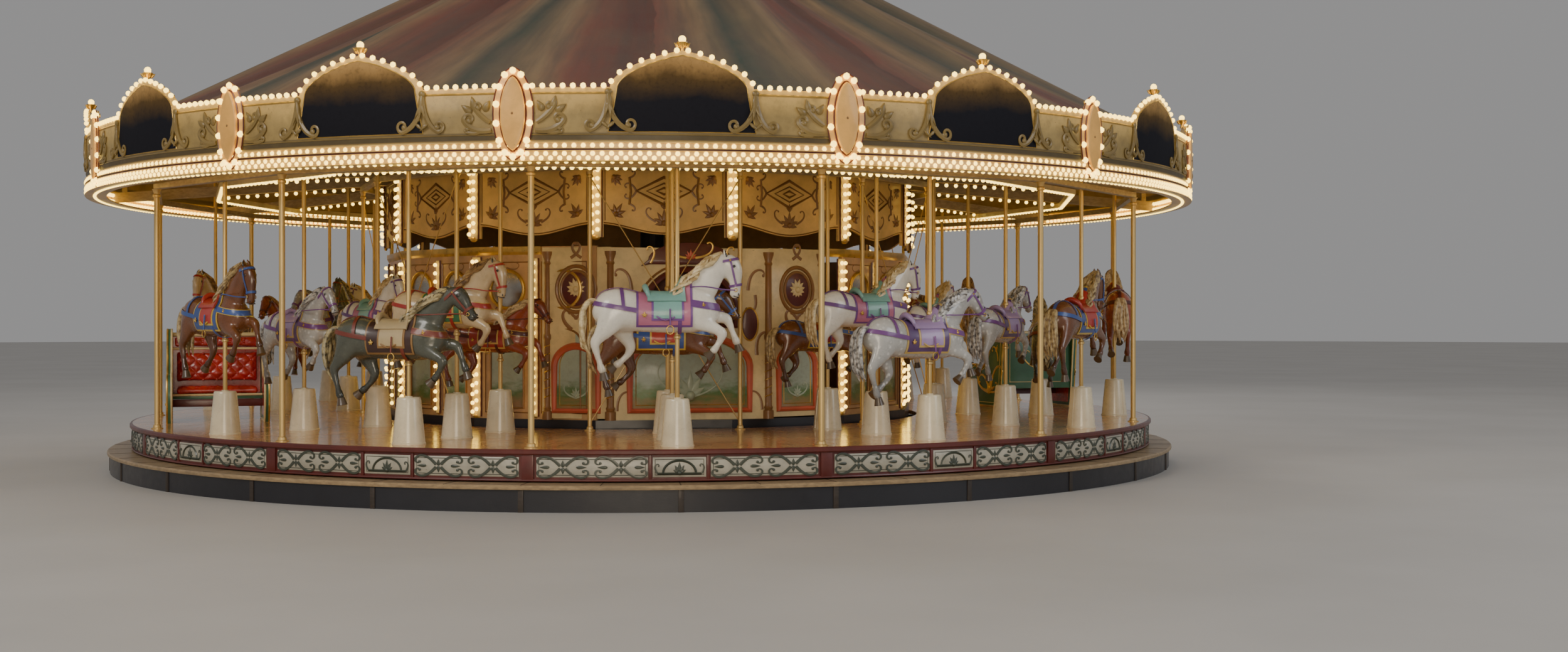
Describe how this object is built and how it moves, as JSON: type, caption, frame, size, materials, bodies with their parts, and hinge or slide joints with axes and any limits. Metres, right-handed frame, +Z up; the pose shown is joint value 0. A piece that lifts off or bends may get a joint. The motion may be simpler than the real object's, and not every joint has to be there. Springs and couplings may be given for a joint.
{
  "type": "fairground carousel",
  "caption": "Galloping-horse roundabout: a turning deck with jumping horses and bench chariots under a round canopy with arched lamp boards.",
  "frame": {"origin": "on the ground at the axis the ride turns about", "axes": "+Z up along the axis; -Y towards the front, where the organ faces; +X the way the front of the ride moves"},
  "size_m": [13.4342, 13.3792, 7.7003],
  "materials": {
    "dark_wood": "satin",
    "pale_wood": "satin",
    "steel": "satin",
    "panel_gold": "satin",
    "cream_paint": "satin",
    "deck_wood": "gloss",
    "brass": "polished",
    "roof_wood": "matte",
    "shield_orange": "satin",
    "tilt_cloth": "matte",
    "gilt": "gloss",
    "chariot_paint": "gloss",
    "red_hide": "satin",
    "horse_white": "gloss",
    "horse_grey": "gloss",
    "horse_brown": "gloss",
    "horse_cream": "gloss",
    "horse_dapple": "gloss",
    "horse_red": "gloss"
  },
  "bodies": {
    "ground": {"ground_frame": "dark_wood", "entry_step": "pale_wood", "centre_mast": "steel", "house_plinth": "dark_wood", "house_walls": "panel_gold", "organ_front": "cream_paint"},
    "turntable": {"deck": "deck_wood", "deck_fascia": "cream_paint", "outer_poles": "brass", "inner_poles": "brass", "roof_sweeps": "roof_wood", "light_ring": "cream_paint", "roof_rafters": "roof_wood", "drum_valance": "panel_gold", "cornice_boards": "cream_paint", "cornice_rail": "shield_orange", "canopy": "tilt_cloth", "roof_crown": "gilt", "chariot_1": "chariot_paint", "chariot_cushion_1": "red_hide", "chariot_2": "chariot_paint", "chariot_cushion_2": "red_hide"},
    "horse_outer_1": {"horse_outer_1": "horse_white"},
    "horse_middle_1": {"horse_middle_1": "horse_brown"},
    "horse_inner_1": {"horse_inner_1": "horse_dapple"},
    "horse_outer_2": {"horse_outer_2": "horse_dapple"},
    "horse_middle_2": {"horse_middle_2": "horse_white"},
    "horse_inner_2": {"horse_inner_2": "horse_brown"},
    "horse_outer_3": {"horse_outer_3": "horse_brown"},
    "horse_middle_3": {"horse_middle_3": "horse_dapple"},
    "horse_inner_3": {"horse_inner_3": "horse_white"},
    "horse_outer_4": {"horse_outer_4": "horse_red"},
    "horse_middle_4": {"horse_middle_4": "horse_grey"},
    "horse_inner_4": {"horse_inner_4": "horse_cream"},
    "horse_outer_5": {"horse_outer_5": "horse_cream"},
    "horse_middle_5": {"horse_middle_5": "horse_red"},
    "horse_inner_5": {"horse_inner_5": "horse_grey"},
    "horse_outer_6": {"horse_outer_6": "horse_grey"},
    "horse_middle_6": {"horse_middle_6": "horse_cream"},
    "horse_inner_6": {"horse_inner_6": "horse_red"},
    "horse_outer_7": {"horse_outer_7": "horse_white"},
    "horse_middle_7": {"horse_middle_7": "horse_brown"},
    "horse_inner_7": {"horse_inner_7": "horse_dapple"},
    "horse_outer_8": {"horse_outer_8": "horse_red"},
    "horse_middle_8": {"horse_middle_8": "horse_grey"},
    "horse_inner_8": {"horse_inner_8": "horse_cream"},
    "horse_outer_9": {"horse_outer_9": "horse_dapple"},
    "horse_middle_9": {"horse_middle_9": "horse_white"},
    "horse_inner_9": {"horse_inner_9": "horse_brown"},
    "horse_outer_10": {"horse_outer_10": "horse_cream"},
    "horse_middle_10": {"horse_middle_10": "horse_red"},
    "horse_inner_10": {"horse_inner_10": "horse_grey"},
    "horse_outer_11": {"horse_outer_11": "horse_brown"},
    "horse_middle_11": {"horse_middle_11": "horse_dapple"},
    "horse_inner_11": {"horse_inner_11": "horse_white"},
    "horse_outer_12": {"horse_outer_12": "horse_grey"},
    "horse_middle_12": {"horse_middle_12": "horse_cream"},
    "horse_inner_12": {"horse_inner_12": "horse_red"}
  },
  "joints": [
    {"name": "turntable_spin", "type": "hinge", "parent": "ground", "child": "turntable", "pos_m": [0, 0, 0], "axis": [0, 0, 1], "continuous": true},
    {"name": "lift_outer_1", "type": "slide", "parent": "turntable", "child": "horse_outer_1", "axis": [0, 0, 1], "range_m": [-0.32, 0.08]},
    {"name": "lift_middle_1", "type": "slide", "parent": "turntable", "child": "horse_middle_1", "axis": [0, 0, 1], "range_m": [-0.08, 0.32]},
    {"name": "lift_inner_1", "type": "slide", "parent": "turntable", "child": "horse_inner_1", "axis": [0, 0, 1], "range_m": [-0.32, 0.08]},
    {"name": "lift_outer_2", "type": "slide", "parent": "turntable", "child": "horse_outer_2", "axis": [0, 0, 1], "range_m": [-0.06, 0.34]},
    {"name": "lift_middle_2", "type": "slide", "parent": "turntable", "child": "horse_middle_2", "axis": [0, 0, 1], "range_m": [-0.34, 0.06]},
    {"name": "lift_inner_2", "type": "slide", "parent": "turntable", "child": "horse_inner_2", "axis": [0, 0, 1], "range_m": [-0.06, 0.34]},
    {"name": "lift_outer_3", "type": "slide", "parent": "turntable", "child": "horse_outer_3", "axis": [0, 0, 1], "range_m": [-0.23, 0.17]},
    {"name": "lift_middle_3", "type": "slide", "parent": "turntable", "child": "horse_middle_3", "axis": [0, 0, 1], "range_m": [-0.17, 0.23]},
    {"name": "lift_inner_3", "type": "slide", "parent": "turntable", "child": "horse_inner_3", "axis": [0, 0, 1], "range_m": [-0.23, 0.17]},
    {"name": "lift_outer_4", "type": "slide", "parent": "turntable", "child": "horse_outer_4", "axis": [0, 0, 1], "range_m": [-0.38, 0.02]},
    {"name": "lift_middle_4", "type": "slide", "parent": "turntable", "child": "horse_middle_4", "axis": [0, 0, 1], "range_m": [-0.02, 0.38]},
    {"name": "lift_inner_4", "type": "slide", "parent": "turntable", "child": "horse_inner_4", "axis": [0, 0, 1], "range_m": [-0.38, 0.02]},
    {"name": "lift_outer_5", "type": "slide", "parent": "turntable", "child": "horse_outer_5", "axis": [0, 0, 1], "range_m": [-0.13, 0.27]},
    {"name": "lift_middle_5", "type": "slide", "parent": "turntable", "child": "horse_middle_5", "axis": [0, 0, 1], "range_m": [-0.27, 0.13]},
    {"name": "lift_inner_5", "type": "slide", "parent": "turntable", "child": "horse_inner_5", "axis": [0, 0, 1], "range_m": [-0.13, 0.27]},
    {"name": "lift_outer_6", "type": "slide", "parent": "turntable", "child": "horse_outer_6", "axis": [0, 0, 1], "range_m": [-0.35, 0.05]},
    {"name": "lift_middle_6", "type": "slide", "parent": "turntable", "child": "horse_middle_6", "axis": [0, 0, 1], "range_m": [-0.05, 0.35]},
    {"name": "lift_inner_6", "type": "slide", "parent": "turntable", "child": "horse_inner_6", "axis": [0, 0, 1], "range_m": [-0.35, 0.05]},
    {"name": "lift_outer_7", "type": "slide", "parent": "turntable", "child": "horse_outer_7", "axis": [0, 0, 1], "range_m": [-0.02, 0.38]},
    {"name": "lift_middle_7", "type": "slide", "parent": "turntable", "child": "horse_middle_7", "axis": [0, 0, 1], "range_m": [-0.38, 0.02]},
    {"name": "lift_inner_7", "type": "slide", "parent": "turntable", "child": "horse_inner_7", "axis": [0, 0, 1], "range_m": [-0.02, 0.38]},
    {"name": "lift_outer_8", "type": "slide", "parent": "turntable", "child": "horse_outer_8", "axis": [0, 0, 1], "range_m": [-0.28, 0.12]},
    {"name": "lift_middle_8", "type": "slide", "parent": "turntable", "child": "horse_middle_8", "axis": [0, 0, 1], "range_m": [-0.12, 0.28]},
    {"name": "lift_inner_8", "type": "slide", "parent": "turntable", "child": "horse_inner_8", "axis": [0, 0, 1], "range_m": [-0.28, 0.12]},
    {"name": "lift_outer_9", "type": "slide", "parent": "turntable", "child": "horse_outer_9", "axis": [0, 0, 1], "range_m": [-0.17, 0.23]},
    {"name": "lift_middle_9", "type": "slide", "parent": "turntable", "child": "horse_middle_9", "axis": [0, 0, 1], "range_m": [-0.23, 0.17]},
    {"name": "lift_inner_9", "type": "slide", "parent": "turntable", "child": "horse_inner_9", "axis": [0, 0, 1], "range_m": [-0.17, 0.23]},
    {"name": "lift_outer_10", "type": "slide", "parent": "turntable", "child": "horse_outer_10", "axis": [0, 0, 1], "range_m": [-0.31, 0.09]},
    {"name": "lift_middle_10", "type": "slide", "parent": "turntable", "child": "horse_middle_10", "axis": [0, 0, 1], "range_m": [-0.09, 0.31]},
    {"name": "lift_inner_10", "type": "slide", "parent": "turntable", "child": "horse_inner_10", "axis": [0, 0, 1], "range_m": [-0.31, 0.09]},
    {"name": "lift_outer_11", "type": "slide", "parent": "turntable", "child": "horse_outer_11", "axis": [0, 0, 1], "range_m": [-0.27, 0.13]},
    {"name": "lift_middle_11", "type": "slide", "parent": "turntable", "child": "horse_middle_11", "axis": [0, 0, 1], "range_m": [-0.13, 0.27]},
    {"name": "lift_inner_11", "type": "slide", "parent": "turntable", "child": "horse_inner_11", "axis": [0, 0, 1], "range_m": [-0.27, 0.13]},
    {"name": "lift_outer_12", "type": "slide", "parent": "turntable", "child": "horse_outer_12", "axis": [0, 0, 1], "range_m": [-0.06, 0.34]},
    {"name": "lift_middle_12", "type": "slide", "parent": "turntable", "child": "horse_middle_12", "axis": [0, 0, 1], "range_m": [-0.34, 0.06]},
    {"name": "lift_inner_12", "type": "slide", "parent": "turntable", "child": "horse_inner_12", "axis": [0, 0, 1], "range_m": [-0.06, 0.34]}
  ],
  "couplings": [
    {"joint": "lift_middle_1", "follows": "lift_outer_1", "ratio": -1},
    {"joint": "lift_inner_1", "follows": "lift_outer_1", "ratio": 1},
    {"joint": "lift_middle_2", "follows": "lift_outer_2", "ratio": -1},
    {"joint": "lift_inner_2", "follows": "lift_outer_2", "ratio": 1},
    {"joint": "lift_middle_3", "follows": "lift_outer_3", "ratio": -1},
    {"joint": "lift_inner_3", "follows": "lift_outer_3", "ratio": 1},
    {"joint": "lift_middle_4", "follows": "lift_outer_4", "ratio": -1},
    {"joint": "lift_inner_4", "follows": "lift_outer_4", "ratio": 1},
    {"joint": "lift_middle_5", "follows": "lift_outer_5", "ratio": -1},
    {"joint": "lift_inner_5", "follows": "lift_outer_5", "ratio": 1},
    {"joint": "lift_middle_6", "follows": "lift_outer_6", "ratio": -1},
    {"joint": "lift_inner_6", "follows": "lift_outer_6", "ratio": 1},
    {"joint": "lift_middle_7", "follows": "lift_outer_7", "ratio": -1},
    {"joint": "lift_inner_7", "follows": "lift_outer_7", "ratio": 1},
    {"joint": "lift_middle_8", "follows": "lift_outer_8", "ratio": -1},
    {"joint": "lift_inner_8", "follows": "lift_outer_8", "ratio": 1},
    {"joint": "lift_middle_9", "follows": "lift_outer_9", "ratio": -1},
    {"joint": "lift_inner_9", "follows": "lift_outer_9", "ratio": 1},
    {"joint": "lift_middle_10", "follows": "lift_outer_10", "ratio": -1},
    {"joint": "lift_inner_10", "follows": "lift_outer_10", "ratio": 1},
    {"joint": "lift_middle_11", "follows": "lift_outer_11", "ratio": -1},
    {"joint": "lift_inner_11", "follows": "lift_outer_11", "ratio": 1},
    {"joint": "lift_middle_12", "follows": "lift_outer_12", "ratio": -1},
    {"joint": "lift_inner_12", "follows": "lift_outer_12", "ratio": 1}
  ]
}
